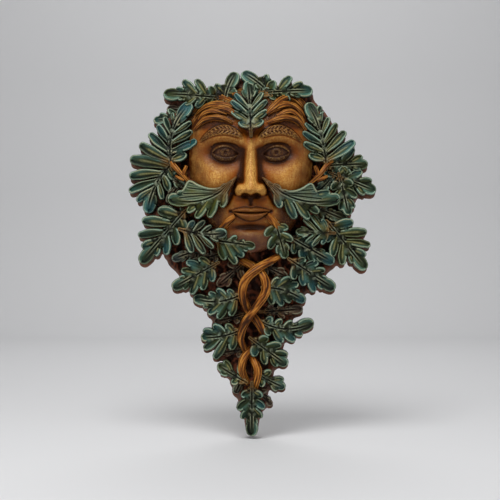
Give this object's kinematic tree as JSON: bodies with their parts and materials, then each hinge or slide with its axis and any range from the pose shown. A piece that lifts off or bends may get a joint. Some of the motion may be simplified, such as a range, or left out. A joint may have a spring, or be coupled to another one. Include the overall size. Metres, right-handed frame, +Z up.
{
  "type": "green man wall plaque",
  "caption": "Cast resin green man wall plaque: a face framed by oak leaves, with a leaf beard around twisted vines and a keyhole in its flat back.",
  "frame": {"origin": "a point on the flat wall face, on the plaque's centre line and 24 mm below the centre of the keyhole's round entry", "axes": "+X to the viewer's right, +Y out of the wall face into the wall, +Z up; the relief stands out towards -Y"},
  "size_m": [0.2248, 0.058, 0.3299],
  "materials": {
    "painted_resin": "cast resin, hand-painted green leaves and ochre face with a dark brown wash, satin varnish"
  },
  "bodies": {
    "root": {"green_man_mask": "painted_resin"}
  },
  "joints": []
}
